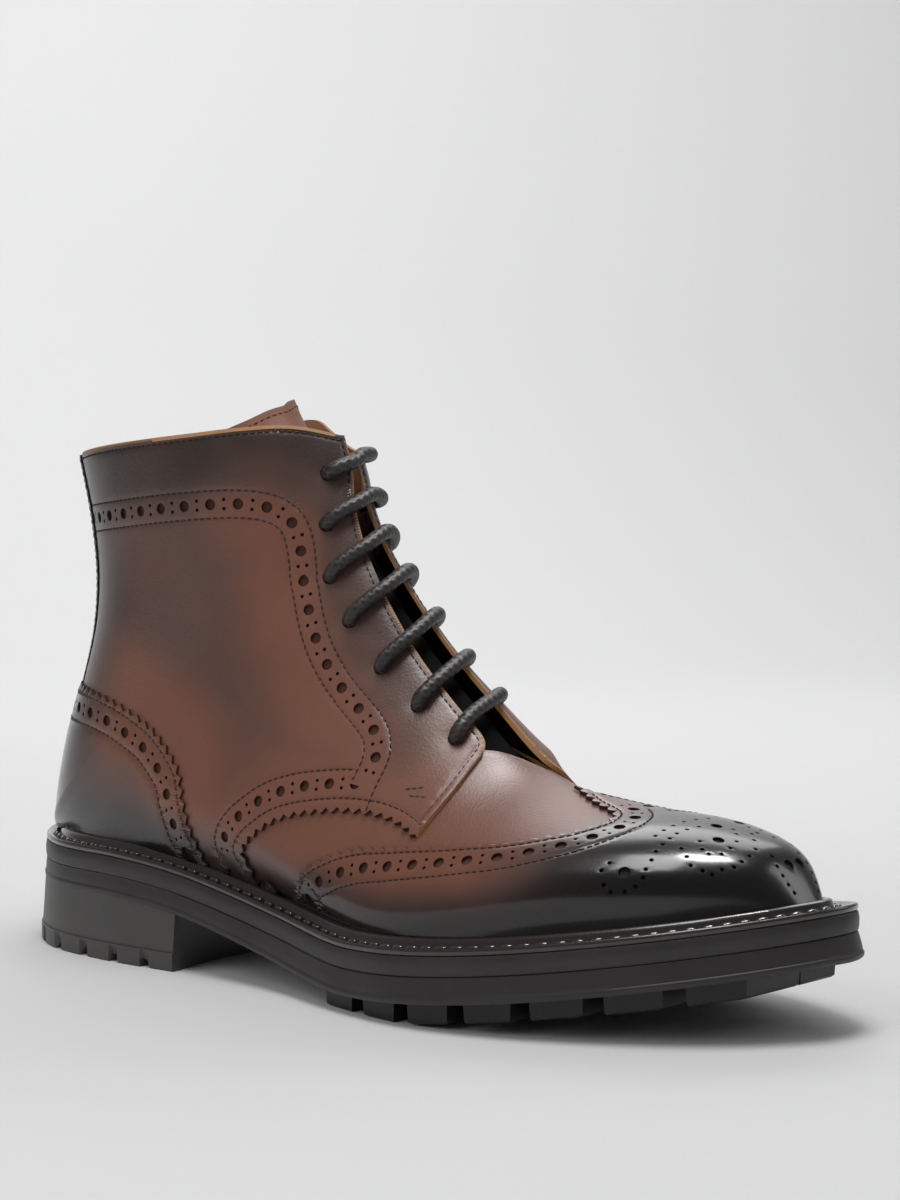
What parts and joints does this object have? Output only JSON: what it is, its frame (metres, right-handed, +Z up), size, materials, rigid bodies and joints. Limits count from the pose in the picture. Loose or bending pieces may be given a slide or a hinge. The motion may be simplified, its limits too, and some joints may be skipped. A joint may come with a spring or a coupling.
{
  "type": "ankle boot",
  "caption": "Lace-up leather ankle boot for the right foot: hollow upper with wing cap, quarters and counter, storm welt, lugged rubber sole and block heel.",
  "frame": {"origin": "middle of the footprint at floor level: the centre of the bounding box's bottom face", "axes": "+X from heel to toe, +Y towards the inner side of the foot, +Z up from the floor"},
  "size_m": [0.309, 0.1118, 0.1777],
  "materials": {
    "brown_calf": "burnished, soft gloss",
    "dark_calf": "burnished, glossy",
    "lining": "matte",
    "welt_leather": "satin",
    "sole_rubber": "satin",
    "waxed_lace": "waxed, satin"
  },
  "bodies": {
    "root": {"outsole": "sole_rubber", "heel_top_piece": "sole_rubber", "midsole": "sole_rubber", "welt": "welt_leather", "insole": "lining", "upper": "brown_calf", "wing_cap": "dark_calf", "quarter_outer": "brown_calf", "quarter_inner": "brown_calf", "heel_counter": "dark_calf", "back_strip": "brown_calf", "tongue": "brown_calf", "lace_bar_1": "waxed_lace", "lace_bar_2": "waxed_lace", "lace_bar_3": "waxed_lace", "lace_bar_4": "waxed_lace", "lace_bar_5": "waxed_lace", "lace_bar_6": "waxed_lace", "lace_bar_7": "waxed_lace"}
  },
  "joints": []
}
